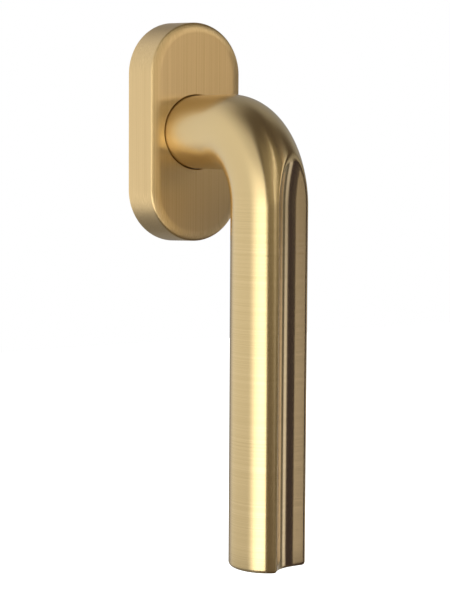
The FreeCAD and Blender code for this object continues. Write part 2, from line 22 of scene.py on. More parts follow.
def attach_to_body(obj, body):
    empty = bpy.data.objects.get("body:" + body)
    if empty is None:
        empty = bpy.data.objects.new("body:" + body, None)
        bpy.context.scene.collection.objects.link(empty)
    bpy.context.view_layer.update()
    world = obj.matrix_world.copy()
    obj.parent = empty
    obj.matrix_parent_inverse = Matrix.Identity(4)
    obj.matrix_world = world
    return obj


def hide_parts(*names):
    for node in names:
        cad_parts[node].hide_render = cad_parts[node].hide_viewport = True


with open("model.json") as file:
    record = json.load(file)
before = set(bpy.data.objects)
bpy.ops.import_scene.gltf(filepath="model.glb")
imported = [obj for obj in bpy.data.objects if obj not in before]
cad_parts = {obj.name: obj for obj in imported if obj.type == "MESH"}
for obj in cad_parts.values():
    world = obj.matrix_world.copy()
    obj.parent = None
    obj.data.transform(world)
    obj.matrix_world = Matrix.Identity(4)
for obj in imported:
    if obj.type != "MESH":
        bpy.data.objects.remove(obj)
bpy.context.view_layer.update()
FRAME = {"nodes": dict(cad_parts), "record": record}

LOG = logging.getLogger("window_handle")
MM = 0.001
TINY = 1e-6
SMOOTH_ANGLE = math.radians(28)

Materials = dict[str, bpy.types.Material]
MeshPart = bmesh.types.BMVert | bmesh.types.BMEdge
Piece = bpy.types.Object
Socket = bpy.types.NodeSocket
Span = tuple[float, float]
Tree = bpy.types.NodeTree
Triple = tuple[float, float, float]
Value = float | int | str | tuple | Socket


# Helpers for nodes and colours


def linear(colour: str) -> tuple[float, float, float, float]:
    """Turns an sRGB hex colour into linear light.

    Args:
        colour: Six hex digits after a hash sign.

    Returns:
        Red, green, blue and an alpha of 1.
    """
    channels = [int(colour[i : i + 2], 16) / 255 for i in (1, 3, 5)]
    light = [c / 12.92 if c <= 0.04045 else ((c + 0.055) / 1.055) ** 2.4 for c in channels]
    return (*light, 1.0)


def add_node(
    tree: Tree, kind: str, fills: dict[str | int, Value] | None = None, **settings: object
) -> bpy.types.NodeOutputs:
    """Adds one node with its settings and links.

    Args:
        tree: Node tree that gets the node.
        kind: Type name of the node, without the part that all begin with.
        fills: Input sockets by name or number, each with a value or with a socket to link from.
        **settings: Properties of the node.

    Returns:
        The output sockets of the new node.
    """
    node = tree.nodes.new("ShaderNode" + kind)
    for name, setting in settings.items():
        setattr(node, name, setting)
    for key, fill in (fills or {}).items():
        if isinstance(fill, Socket):
            tree.links.new(fill, node.inputs[key])
        else:
            node.inputs[key].default_value = fill
    return node.outputs


def empty_material(name: str) -> tuple[bpy.types.Material, Tree]:
    """Makes a material whose node tree holds nothing yet.

    Args:
        name: Name of the material.

    Returns:
        The material and its node tree.
    """
    material = bpy.data.materials.new(name)
    material.use_nodes = True
    material.node_tree.nodes.clear()
    return material, material.node_tree


# Helpers for numbers and modelling


def clamp(share: float) -> float:
    """Keeps a share between 0 and 1."""
    return min(max(share, 0.0), 1.0)


def ease(share: float) -> float:
    """Eases from 0 to 1 while its input runs from 0 to 1."""
    share = clamp(share)
    return share * share * (3 - 2 * share)


def choose_only(piece: Piece) -> None:
    """Makes one object the only selected and the active one."""
    bpy.ops.object.select_all(action="DESELECT")
    piece.select_set(True)
    bpy.context.view_layer.objects.active = piece


def name_new(name: str) -> Piece:
    """Names the primitive that was just added and moves its place into its mesh.

    Args:
        name: Name of the piece.

    Returns:
        The piece, with its object at the origin.
    """
    piece = bpy.context.object
    piece.name = name
    piece.data.name = name
    choose_only(piece)
    bpy.ops.object.transform_apply(location=True, rotation=True, scale=True)
    return piece


def choose(piece: Piece, test: Callable[[MeshPart], bool], edges: bool = False) -> None:
    """Selects the vertices of a mesh in edit mode that pass a test, or else its edges.

    Args:
        piece: Object in edit mode.
        test: Says whether a vertex or an edge is wanted.
        edges: Whether edges are tested.
    """
    mesh = bmesh.from_edit_mesh(piece.data)
    bpy.ops.mesh.select_mode(type="EDGE" if edges else "VERT")
    bpy.ops.mesh.select_all(action="DESELECT")
    for part in mesh.edges if edges else mesh.verts:
        part.select = test(part)
    mesh.select_flush_mode()
    bmesh.update_edit_mesh(piece.data)


def edit_all() -> None:
    """Enters edit mode with everything selected."""
    bpy.ops.object.mode_set(mode="EDIT")
    bpy.ops.mesh.select_all(action="SELECT")


def point_outwards() -> None:
    """Points all faces outwards and leaves edit mode."""
    bpy.ops.mesh.select_all(action="SELECT")
    bpy.ops.mesh.normals_make_consistent(inside=False)
    bpy.ops.object.mode_set(mode="OBJECT")


def extrude(*move: float) -> None:
    """Extrudes what is selected and moves it by three distances in millimetres."""
    bpy.ops.mesh.extrude_region_move(TRANSFORM_OT_translate={"value": [side * MM for side in move]})


def extrude_ring(move: Triple, share: float, centre: Triple) -> None:
    """Extrudes the selected ring and draws it in or out in its plane.

    Args:
        move: How far it moves, in millimetres.
        share: Its new size as a share of the old one.
        centre: Its new centre, in millimetres.
    """
    extrude(*move)
    bpy.ops.transform.resize(value=(share, share, share), center_override=[side * MM for side in centre])


def cut(piece: Piece, tool: Piece) -> None:
    """Cuts a tool's shape out of a piece and deletes the tool.

    Args:
        piece: Object that stays.
        tool: Object that is used up.
    """
    choose_only(piece)
    modifier = piece.modifiers.new("cut", "BOOLEAN")
    modifier.operation = "DIFFERENCE"
    modifier.solver = "EXACT"
    modifier.object = tool
    bpy.ops.object.modifier_apply(modifier=modifier.name)
    bpy.data.objects.remove(tool)


def close_and_smooth(piece: Piece, angle: float = SMOOTH_ANGLE) -> None:
    """Merges doubled vertices, points the faces outwards and shades all but the sharp edges smooth.

    Args:
        piece: Finished object.
        angle: Edges that turn by more than this stay sharp, in radians.
    """
    choose_only(piece)
    edit_all()
    bpy.ops.mesh.remove_doubles(threshold=2 * TINY)
    point_outwards()
    bpy.ops.object.shade_smooth_by_angle(angle=angle)


def attach(piece: Piece, body: str, slot: str, materials: Materials, *nodes: str) -> None:
    """Gives a piece its finish, lets it ride on a body in place of CAD nodes, and reports it.

    Args:
        piece: Finished piece.
        body: Body that the piece moves with.
        slot: Material slot of the record.
        materials: Material of each slot.
        *nodes: CAD nodes that the piece stands for.
    """
    piece.data.materials.append(materials[slot])
    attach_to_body(piece, body)
    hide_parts(*nodes)
    LOG.info("%s: %d faces on %s", piece.name, len(piece.data.polygons), body)


# Finishes


class Brushing(Enum):
    """Way in which the hairlines of a brushed surface run."""

    ROUND_THE_ROD = "round the rod"
    UPRIGHT = "upright"


@dataclass(frozen=True)
class BrushedBrass:
    """Lacquered satin brass: fine hairlines, with reflections drawn out across them.

    Real hairlines are a few hundredths of a millimetre wide, too fine to show, so they are drawn about ten
    times as coarse. A hairline and the upright strokes in which hairlines show have a width and a length.
    On the lever, hairlines fade in between two heights below the bend, and the roughness changes to the
    neck's between two depths.
    """

    name: str
    brushing: Brushing
    colour: str = "#EBD09A"
    groove_colour: str = "#E0C58D"
    roughness: float = 0.285
    neck_roughness: float = 0.265
    neck_depths: Span = (34.0, 16.0)
    unevenness: float = 0.01
    drawn_out: float = 1.0
    hairline: Span = (0.25, 200.0)
    stroke: Span = (2.1, 25.0)
    fade_heights: Span = (-14.0, -26.0)
    relief: float = 0.003
    lacquer: float = 0.3
    lacquer_roughness: float = 0.12

    def material(self) -> bpy.types.Material:
        """Builds the material's nodes.

        Returns:
            The material.
        """
        made, tree = empty_material(self.name)
        place = add_node(tree, "TexCoord")["Object"]
        hairlines = self.streaks(tree, place, self.hairline, (0.3, 0.7), Detail=2.0, Roughness=0.6)
        if self.brushing is Brushing.ROUND_THE_ROD:
            hairlines = self.fade_into_bend(tree, place, hairlines)
            tangent = self.along_rod(tree, place)
            roughness = self.satin_neck(tree, place)
        else:
            strokes = self.streaks(tree, place, self.stroke, (0.2, 0.6), Detail=1.0)
            hairlines = add_node(tree, "Mix", {"Factor": strokes, 2: 0.5, 3: hairlines})[0]
            tangent = self.across_upright(tree)
            roughness = self.roughness
        groove, ridge = linear(self.groove_colour), linear(self.colour)
        colour = add_node(tree, "Mix", {"Factor": hairlines, 6: groove, 7: ridge}, data_type="RGBA")[2]
        more = self.unevenness
        uneven = add_node(tree, "MapRange", {"Value": hairlines, "To Min": more, "To Max": -more})[0]
        roughness = add_node(tree, "Math", {0: uneven, 1: roughness}, operation="ADD")[0]
        depth = self.relief * MM
        relief = add_node(tree, "Bump", {"Strength": 0.35, "Distance": depth, "Height": hairlines})[0]
        inputs = {
            "Base Color": colour,
            "Metallic": 1.0,
            "Roughness": roughness,
            "Anisotropic": self.drawn_out,
            "Tangent": tangent,
            "Normal": relief,
            "Coat Weight": self.lacquer,
            "Coat Roughness": self.lacquer_roughness,
        }
        surface = add_node(tree, "BsdfPrincipled", inputs)[0]
        add_node(tree, "OutputMaterial", {"Surface": surface})
        return made

    def streaks(self, tree: Tree, place: Socket, size: Span, spread: Span, **grain: float) -> Socket:
        """Draws noise out into streaks along the brushing.

        Args:
            tree: Node tree of the material.
            place: Object coordinates.
            size: Width and length of a streak.
            spread: Values of the noise that become 0 and 1.
            **grain: Detail and roughness of the noise.

        Returns:
            The streaks, from 0 to 1.
        """
        across, along = (1 / (side * MM) for side in size)
        round_rod = self.brushing is Brushing.ROUND_THE_ROD
        scale = (along, along, across) if round_rod else (across, across, along)
        stretched = add_node(tree, "Mapping", {"Vector": place, "Scale": scale})[0]
        noise = add_node(tree, "TexNoise", {"Vector": stretched, "Scale": 1.0, **grain})[0]
        low, high = spread
        return add_node(tree, "MapRange", {"Value": noise, "From Min": low, "From Max": high})[0]

    def fade_into_bend(self, tree: Tree, place: Socket, hairlines: Socket) -> Socket:
        """Lets the grip's hairlines fade out where the bend begins, which is polished smooth.

        Args:
            tree: Node tree of the material.
            place: Object coordinates.
            hairlines: Strength of the hairlines, around one half.

        Returns:
            The faded strength.
        """
        height = add_node(tree, "SeparateXYZ", {"Vector": place})["Z"]
        start, end = self.fade_heights
        on_grip = add_node(
            tree, "MapRange", {"Value": height, "From Min": start * MM, "From Max": end * MM}
        )[0]
        return add_node(tree, "Mix", {"Factor": on_grip, 2: 0.55, 3: hairlines})[0]

    def satin_neck(self, tree: Tree, place: Socket) -> Socket:
        """Makes the neck, which no hand rubs, duller than bend and grip.

        Args:
            tree: Node tree of the material.
            place: Object coordinates.

        Returns:
            The roughness.
        """
        along_neck = add_node(tree, "SeparateXYZ", {"Vector": place})["Y"]
        room_side, sash_side = self.neck_depths
        inputs = {
            "Value": along_neck,
            "From Min": -room_side * MM,
            "From Max": -sash_side * MM,
            "To Min": self.roughness,
            "To Max": self.neck_roughness,
        }
        return add_node(tree, "MapRange", inputs, interpolation_type="SMOOTHSTEP")[0]

    def along_rod(self, tree: Tree, place: Socket) -> Socket:
        """Finds the direction along neck, bend and grip, across the hairlines.

        Args:
            tree: Node tree of the material.
            place: Object coordinates.

        Returns:
            The direction, in world space, never quite zero.
        """
        direction = place
        for operation, other in (
            ("SUBTRACT", (0.0, -Lever.bend_start * MM, -Lever.bend_radius * MM)),
            ("MINIMUM", (0.0, 0.0, 1.0)),
            ("MAXIMUM", (0.0, -1.0, 0.0)),
            ("CROSS_PRODUCT", (-1.0, 0.0, 0.0)),
        ):
            direction = add_node(tree, "VectorMath", {0: direction, 1: other}, operation=operation)[0]
        to_world = {"vector_type": "VECTOR", "convert_from": "OBJECT", "convert_to": "WORLD"}
        direction = add_node(tree, "VectorTransform", {0: direction}, **to_world)[0]
        return add_node(tree, "VectorMath", {0: direction, 1: (0.0002, 0.0, 0.0)}, operation="ADD")[0]

    def across_upright(self, tree: Tree) -> Socket:
        """Finds the level direction in the surface, across upright hairlines.

        Args:
            tree: Node tree of the material.

        Returns:
            The direction, in world space, never quite zero.
        """
        normal = add_node(tree, "NewGeometry")["Normal"]
        level = add_node(tree, "VectorMath", {0: normal, 1: (0.0, 0.0, 1.0)}, operation="CROSS_PRODUCT")[0]
        return add_node(tree, "VectorMath", {0: level, 1: (0.02, 0.0, 0.0)}, operation="ADD")[0]


@dataclass(frozen=True)
class GrainyFinish:
    """Metal or nylon with a fine grain and faint clouds in its colour and sheen.

    Each axis has its own stretch of the grain. Colour follows the clouds and a share of the grain.
    """

    name: str
    colour: str
    low_colour: str
    roughness: float
    grain: float
    relief: float
    stretch: Triple = (1.0, 1.0, 1.0)
    grain_noise: Span = (5.0, 0.6)
    grain_share: float = 0.5
    tones: Span = (0.45, 1.05)
    bump: float = 0.5
    cloud: float = 7.14
    unevenness: float = 0.07
    metallic: float = 1.0
    ior: float = 1.5

    def material(self) -> bpy.types.Material:
        """Builds the material's nodes.

        Returns:
            The material.
        """
        made, tree = empty_material(self.name)
        place = add_node(tree, "TexCoord")["Object"]
        scale = tuple(1 / (self.grain * times * MM) for times in self.stretch)
        stretched = add_node(tree, "Mapping", {"Vector": place, "Scale": scale})[0]
        detail, harshness = self.grain_noise
        noise = {"Vector": stretched, "Scale": 1.0, "Detail": detail, "Roughness": harshness}
        grain = add_node(tree, "TexNoise", noise)[0]
        clouds = add_node(
            tree, "TexNoise", {"Vector": place, "Scale": 1 / (self.cloud * MM), "Detail": 3.0}
        )[0]
        tone = add_node(
            tree, "Math", {0: grain, 1: self.grain_share, 2: clouds}, operation="MULTIPLY_ADD"
        )[0]
        low, high = self.tones
        tone = add_node(tree, "MapRange", {"Value": tone, "From Min": low, "From Max": high})[0]
        dark, light = linear(self.low_colour), linear(self.colour)
        colour = add_node(tree, "Mix", {"Factor": tone, 6: dark, 7: light}, data_type="RGBA")[2]
        smooth, rough = self.roughness - self.unevenness, self.roughness + self.unevenness
        roughness = add_node(tree, "MapRange", {"Value": clouds, "To Min": smooth, "To Max": rough})[0]
        depth = self.relief * MM
        relief = add_node(tree, "Bump", {"Strength": self.bump, "Distance": depth, "Height": grain})[0]
        inputs = {
            "Base Color": colour,
            "Metallic": self.metallic,
            "Roughness": roughness,
            "IOR": self.ior,
            "Normal": relief,
        }
        surface = add_node(tree, "BsdfPrincipled", inputs)[0]
        add_node(tree, "OutputMaterial", {"Surface": surface})
        return made


def moulded_nylon(name: str, colour: str, low_colour: str) -> GrainyFinish:
    """Gives the finish of nylon from a spark-eroded mould: a soft, even sheen over a faint grain.

    Args:
        name: Name of the material.
        colour: Lighter colour.
        low_colour: Darker colour.

    Returns:
        The finish.
    """
    return GrainyFinish(
        name, colour, low_colour, roughness=0.48, grain=0.25, relief=0.02, grain_noise=(2.0, 0.5),
        grain_share=0.0, tones=(0.0, 1.0), bump=0.4, cloud=11.11, unevenness=0.0, metallic=0.0, ior=1.53,
    )


FINISHES: dict[str, BrushedBrass | GrainyFinish] = {
    # Forged brass, brushed round the rod: level hairlines, and reflections that run along the rod.
    "lever_brass": BrushedBrass(
        "brushed_brass_lever", Brushing.ROUND_THE_ROD, roughness=0.22, drawn_out=0.9
    ),
    # Pressed brass, brushed upright: upright hairlines, and a broad, paler sheen.
    "rosette_brass": BrushedBrass(
        "brushed_brass_rosette",
        Brushing.UPRIGHT,
        colour="#FADBA0",
        groove_colour="#E6C589",
        hairline=(0.35, 200.0),
        relief=0.015,
    ),
    # Die-cast zinc, left bare: a dull, cloudy grey.
    "zinc_casting": GrainyFinish("die_cast_zinc", "#B9BBBD", "#8E9093", 0.52, 0.5, 0.02),
    # Turned and pressed steel with bright zinc plating: pale and fairly shiny.
    "plated_steel": GrainyFinish("zinc_plated_steel", "#D4D6D9", "#B4B8BD", 0.3, 0.35, 0.006),
    # Rolled and tempered steel: darker, with a grain drawn out by rolling.
    "spring_steel": GrainyFinish("spring_steel", "#94979C", "#6F7277", 0.34, 0.2, 0.006, (1.0, 1.0, 12.0)),
    # Nylon from the mould, dyed or natural.
    "dark_nylon": moulded_nylon("dark_nylon", "#3B332C", "#2C2621"),
    "pale_nylon": moulded_nylon("pale_nylon", "#E9E4D6", "#DAD3C2"),
}


# Lever


@dataclass
class Lever:
    """Lever: hidden end, neck, quarter bend and grip with its facet.

    Squares are given by half their width. The facet is a flat between two coves, which run together in an
    apex at the bend. Its outline is rounded by a crease, which changes between two heights above the grip.
    """

    rod_radius: float = 11.0
    shoulder: float = 10.45
    bend_start: float = 32.3
    bend_radius: float = 21.2
    grip_end: float = 124.0
    end_radius: float = 1.2
    cap_insets: Span = (3.2, 5.6)
    journal_radius: float = 8.5
    journal_end: float = 5.6
    cam_square: float = 6.0
    groove_radius: float = 5.65
    groove_depths: Span = (2.8, 1.7)
    tail_radius: float = 6.0
    tail_end: float = 0.9
    socket_square: float = 3.55
    socket_bottom: float = 26.5
    ridge_angle: float = 18.0
    flat_out: float = 6.46
    cove_radius: float = 10.5
    cove_curve_radius: float = 46.0
    crease: float = 0.45
    apex_crease: float = 0.9
    apex_heights: Span = (6.0, 15.0)
    sides: int = 400
    plain_bend: float = 54.0
    plain_steps: int = 27
    facet_steps: int = 120
    grip_steps: int = 22
    end_steps: int = 7
    halvings: int = 30

    def build(self, materials: Materials) -> None:
        """Models and dresses the lever.

        Args:
            materials: Material of each slot.
        """
        bpy.ops.mesh.primitive_circle_add(
            vertices=self.sides,
            radius=self.rod_radius * MM,
            location=(0.0, -self.shoulder * MM, 0.0),
            rotation=(math.pi / 2, 0.0, 0.0),
        )
        piece = name_new("lever_body")
        edit_all()
        self.draw_neck_and_grip()
        self.draw_hidden_end(piece)
        bpy.ops.object.mode_set(mode="OBJECT")
        self.press_facet(piece)
        close_and_smooth(piece)
        attach(piece, "lever", "lever_brass", materials, "lever")

    def draw_neck_and_grip(self) -> None:
        """Extrudes the neck, spins the bend and extrudes the grip down to its rounded end."""
        centre = (0.0, -self.bend_start * MM, -self.bend_radius * MM)
        extrude(0.0, self.shoulder - self.bend_start, 0.0)
        facet_bend = 90.0 - self.plain_bend
        for steps, angle in ((self.plain_steps, self.plain_bend), (self.facet_steps, facet_bend)):
            bpy.ops.mesh.spin(steps=steps, angle=math.radians(angle), center=centre, axis=(-1.0, 0.0, 0.0))
        straight = self.grip_end - self.end_radius - self.bend_radius
        for _ in range(self.grip_steps):
            extrude(0.0, 0.0, -straight / self.grip_steps)
        self.draw_end()

    def draw_end(self) -> None:
        """Rounds the grip's end with rings that turn inwards and closes it."""
        grip_depth = self.bend_start + self.bend_radius
        rings = []
        for step in range(1, self.end_steps + 1):
            turn = math.pi / 2 * step / self.end_steps
            inset = self.end_radius * (1 - math.cos(turn))
            rings.append((inset, self.grip_end - self.end_radius * (1 - math.sin(turn))))
        rings.extend((inset, self.grip_end) for inset in self.cap_insets)
        inset_before = 0.0
        fall_before = self.grip_end - self.end_radius
        for inset, fall in rings:
            share = (self.rod_radius - inset) / (self.rod_radius - inset_before)
            extrude_ring((0.0, 0.0, fall_before - fall), share, (0.0, -grip_depth, -fall))
            inset_before, fall_before = inset, fall
        bpy.ops.mesh.edge_face_add()

    def draw_hidden_end(self, piece: Piece) -> None:
        """Extrudes journal, cam square, ring groove, tail and spindle socket from the shoulder.

        Args:
            piece: Lever in edit mode.
        """
        groove_start, groove_end = self.groove_depths
        stretches = (
            (self.shoulder, self.journal_end, self.journal_radius, self.journal_radius),
            (self.journal_end, groove_start, self.journal_radius, self.cam_square),
            (groove_start, groove_end, self.groove_radius, self.groove_radius),
            (groove_end, self.tail_end, self.tail_radius, self.tail_radius),
            (self.tail_end, self.socket_bottom, self.tail_radius, self.socket_square),
        )
        shoulder, foot = -self.shoulder * MM, -(self.rod_radius + 1) * MM
        choose(piece, lambda vert: abs(vert.co.y - shoulder) < TINY and vert.co.z > foot)
        for start, end, radius, half_square in stretches:
            for depth in (start, end):
                extrude(0.0, 0.0, 0.0)
                mesh = bmesh.from_edit_mesh(piece.data)
                for vert in mesh.verts:
                    if vert.select:
                        angle = math.atan2(vert.co.x, vert.co.z)
                        square = half_square / max(abs(math.sin(angle)), abs(math.cos(angle)))
                        reach = min(radius, square) if half_square < radius else radius
                        vert.co = Vector((reach * math.sin(angle), -depth, reach * math.cos(angle))) * MM
                bmesh.update_edit_mesh(piece.data)
        bpy.ops.mesh.edge_face_add()

    def press_facet(self, piece: Piece) -> None:
        """Moves the round rod's vertices on to the facet, with a softly rounded outline.

        Args:
            piece: Lever, still round.
        """
        known: dict[Triple, float] = {}
        for vert in piece.data.vertices:
            x, depth, height = vert.co.x / MM, -vert.co.y / MM, vert.co.z / MM
            if depth <= self.bend_start:
                continue
            back = depth - self.bend_start
            above_grip = max(height + self.bend_radius, 0.0)
            below = max(-self.bend_radius - height, 0.0)
            turn = math.atan2(back, above_grip)
            level = math.hypot(back, above_grip) - self.bend_radius
            reach = math.hypot(x, level)
            if reach < TINY:
                continue
            side, out = x / reach, level / reach
            inset = self.rod_radius - reach
            if self.inside(side * reach, out * reach, turn) > inset - TINY / 10:
                continue
            place = (round(math.atan2(side, out), 5), round(reach, 4), round(turn, 5))
            if place not in known:
                known[place] = self.surface(side, out, turn, inset)
            near = known[place]
            radial = self.bend_radius + out * near
            into_room = -self.bend_start - radial * math.sin(turn)
            up = -self.bend_radius + radial * math.cos(turn) - below
            vert.co = Vector((side * near, into_room, up)) * MM

    def surface(self, side: float, out: float, turn: float, inset: float) -> float:
        """Finds where a ray from the rod's axis meets the lever's surface.

        Args:
            side: Share of the ray's direction to the right.
            out: Share of the ray's direction away from the bend's centre.
            turn: Angle round the bend, in radians.
            inset: Depth below the surface that is wanted.

        Returns:
            Distance from the axis.
        """
        near, far = 0.0, self.rod_radius
        for _ in range(self.halvings):
            middle = (near + far) / 2
            if self.inside(side * middle, out * middle, turn) > inset:
                near = middle
            else:
                far = middle
        return near

    def inside(self, x: float, level: float, turn: float) -> float:
        """Says how far a point of a cross-section lies inside the lever's surface.

        Args:
            x: Distance to the right of the rod's axis.
            level: Distance from the rod's axis, away from the bend's centre.
            turn: Angle round the bend, in radians, a quarter turn on the grip.

        Returns:
            Depth below the surface, negative outside.
        """
        radial = self.bend_radius + level
        out = radial * math.sin(turn) - self.bend_radius
        above_grip = max(radial * math.cos(turn), 0.0)
        angle = math.radians(self.ridge_angle)
        rise = self.rod_radius * math.cos(angle) - self.flat_out
        foot = -self.rod_radius * math.sin(angle) + math.sqrt(2 * self.cove_radius * rise - rise**2)
        from_foot = math.hypot(foot + self.cove_curve_radius - x, above_grip) - self.cove_curve_radius
        if from_foot > 0:
            below_facet = math.hypot(from_foot, out - self.flat_out - self.cove_radius) - self.cove_radius
        else:
            below_facet = self.flat_out - out
        below_rod = self.rod_radius - math.hypot(x, level)
        low, high = self.apex_heights
        near_apex = clamp((above_grip - low) / (high - low))
        crease = self.crease + (self.apex_crease - self.crease) * near_apex**2
        if below_rod < crease and below_facet < crease:
            return crease - math.hypot(crease - below_rod, crease - below_facet)
        return min(below_rod, below_facet)


# Rosette


def oblong_block(name: str, width: float, height: float, rings: list[Span]) -> Piece:
    """Models an upright oblong block with rounded ends, drawn in as its rings say.

    Args:
        name: Name of the block.
        width: Width in millimetres.
        height: Height in millimetres.
        rings: Inset and depth of each ring in millimetres, from the face at the back to the one in front.

    Returns:
        The block.
    """
    sides = 192
    half_step = math.pi / sides
    straight = (height - width) / 2
    bpy.ops.mesh.primitive_circle_add(
        vertices=sides,
        radius=width / 2 / math.cos(half_step) * MM,
        fill_type="NGON",
        location=(0.0, -rings[0][1] * MM, 0.0),
        rotation=(math.pi / 2, half_step, 0.0),
    )
    block = name_new(name)
    bpy.ops.object.mode_set(mode="EDIT")
    for side in (1, -1):
        choose(block, lambda vert, side=side: side * vert.co.z > 0)
        bpy.ops.transform.translate(value=(0.0, 0.0, side * straight * MM))
    bpy.ops.mesh.select_all(action="SELECT")
    for (inset_before, depth_before), (inset, depth) in zip(rings, rings[1:]):
        extrude(0.0, depth_before - depth, 0.0)
        shrink = (width / 2 - inset) / (width / 2 - inset_before)
        mesh = bmesh.from_edit_mesh(block.data)
        for vert in mesh.verts:
            if vert.select:
                end = math.copysign(straight * MM, vert.co.z)
                vert.co.x *= shrink
                vert.co.z = end + (vert.co.z - end) * shrink
        bmesh.update_edit_mesh(block.data)
    point_outwards()
    return block


def arc_points(centre: Vector, radius: float, turns: Span, steps: int) -> list[Vector]:
    """Works out points along an arc, both ends included.

    Args:
        centre: Centre, across and in depth.
        radius: Radius.
        turns: Directions of the first and the last point, in radians.
        steps: Number of stretches between the points.

    Returns:
        The points.
    """
    first, last = turns
    directions = [first + (last - first) * step / steps for step in range(steps + 1)]
    return [centre + radius * Vector((math.cos(turn), math.sin(turn))) for turn in directions]


@dataclass
class Rosette:
    """Hollow brass cover with a hole for the neck.

    The wall leans in by the draft over the whole depth. A tight corner and a rounded edge follow, and the
    edge ends at the crown's width from the outline.
    """

    width: float = 32.0
    height: float = 67.0
    depth: float = 13.6
    draft: float = 0.6
    crown_radius: float = 7.0
    crown_width: float = 3.2
    corner_radius: float = 0.7
    corner_steps: int = 8
    crown_steps: int = 14
    wall: float = 1.7
    inner_radius: float = 1.0
    inner_steps: int = 6
    hole_radius: float = 11.2
    hole_start: float = 5.0
    hole_sides: int = 256
    hole_edge: float = 0.3
    hole_edge_steps: int = 4
    groove_width: float = 6.6
    groove_depths: Span = (4.65, 9.05)
    groove_bite: float = 0.45

    def build(self, materials: Materials) -> None:
        """Models and dresses the cover.

        Args:
            materials: Material of each slot.
        """
        cover = oblong_block("rosette_shell", self.width, self.height, self.outside())
        walls = 2 * self.wall
        cut(cover, oblong_block("hollow", self.width - walls, self.height - walls, self.inside()))
        self.cut_hole(cover)
        self.cut_catch_grooves(cover)
        self.round_hole_edge(cover)
        close_and_smooth(cover)
        flatten = cover.modifiers.new("flat_faces_look_flat", "WEIGHTED_NORMAL")
        flatten.weight = 100
        flatten.keep_sharp = True
        bpy.ops.object.modifier_apply(modifier=flatten.name)
        attach(cover, "cover", "rosette_brass", materials, "rosette_cover")

    def outside(self) -> list[Span]:
        """Works out the drafted wall, the tight corner and the crowned front.

        Returns:
            Inset and depth of each ring.
        """
        half = self.width / 2
        up_wall = Vector((-self.draft, self.depth)).normalized()
        out_of_wall = Vector((up_wall.y, -up_wall.x))
        crown = Vector((half - self.draft - self.crown_width, self.depth - self.crown_radius))
        corner_line = Vector((half, 0.0)) - out_of_wall * self.corner_radius
        nearest = (crown - corner_line).dot(up_wall)
        apart = (crown - corner_line).dot(out_of_wall)
        beyond = math.sqrt((self.crown_radius - self.corner_radius) ** 2 - apart**2)
        corner = corner_line + up_wall * (nearest + beyond)
        out_of_crown = (corner - crown).normalized()
        wall_turn = math.atan2(out_of_wall.y, out_of_wall.x)
        crown_turn = math.atan2(out_of_crown.y, out_of_crown.x)
        points = [Vector((half, 0.0))]
        points += arc_points(corner, self.corner_radius, (wall_turn, crown_turn), self.corner_steps)
        points += arc_points(crown, self.crown_radius, (crown_turn, math.pi / 2), self.crown_steps)[1:]
        return [(half - point.x, point.y) for point in points]

    def inside(self) -> list[Span]:
        """Works out the straight inner wall and its rounded corner.

        Returns:
            Inset and depth of each ring, from one behind the sash plane.
        """
        centre = Vector((-self.inner_radius, self.depth - self.wall - self.inner_radius))
        corner = arc_points(centre, self.inner_radius, (0.0, math.pi / 2), self.inner_steps)
        return [(0.0, -1.0)] + [(-point.x, point.y) for point in corner]

    def cut_hole(self, cover: Piece) -> None:
        """Cuts the neck's hole through the front.

        Args:
            cover: Hollow cover.
        """
        bpy.ops.mesh.primitive_cylinder_add(
            vertices=self.hole_sides,
            radius=self.hole_radius * MM,
            depth=self.depth * MM,
            location=(0.0, -(self.hole_start + self.depth / 2) * MM, 0.0),
            rotation=(math.pi / 2, 0.0, 0.0),
        )
        cut(cover, name_new("hole"))

    def cut_catch_grooves(self, cover: Piece) -> None:
        """Cuts the groove for a clip's nose into the inside of each end.

        Args:
            cover: Hollow cover.
        """
        near, far = self.groove_depths
        for side in (1, -1):
            bpy.ops.mesh.primitive_cube_add(
                size=1.0,
                location=(0.0, -(near + far) / 2 * MM, side * (self.height / 2 - self.wall) * MM),
                scale=(self.groove_width * MM, (far - near) * MM, 2 * self.groove_bite * MM),
            )
            cut(cover, name_new("catch_groove"))

    def round_hole_edge(self, cover: Piece) -> None:
        """Rounds the front edge of the neck's hole.

        Args:
            cover: Cover with its hole.
        """
        choose_only(cover)
        bpy.ops.object.mode_set(mode="EDIT")
        front = -self.depth * MM
        rim = self.hole_radius * MM
        choose(
            cover,
            lambda edge: all(
                abs(vert.co.y - front) < TINY and abs(math.hypot(vert.co.x, vert.co.z) - rim) < 10 * TINY
                for vert in edge.verts
            ),
            edges=True,
        )
        bpy.ops.mesh.bevel(
            offset=self.hole_edge * MM, segments=self.hole_edge_steps, profile=0.5, clamp_overlap=False
        )
        bpy.ops.object.mode_set(mode="OBJECT")


# Fixing screws


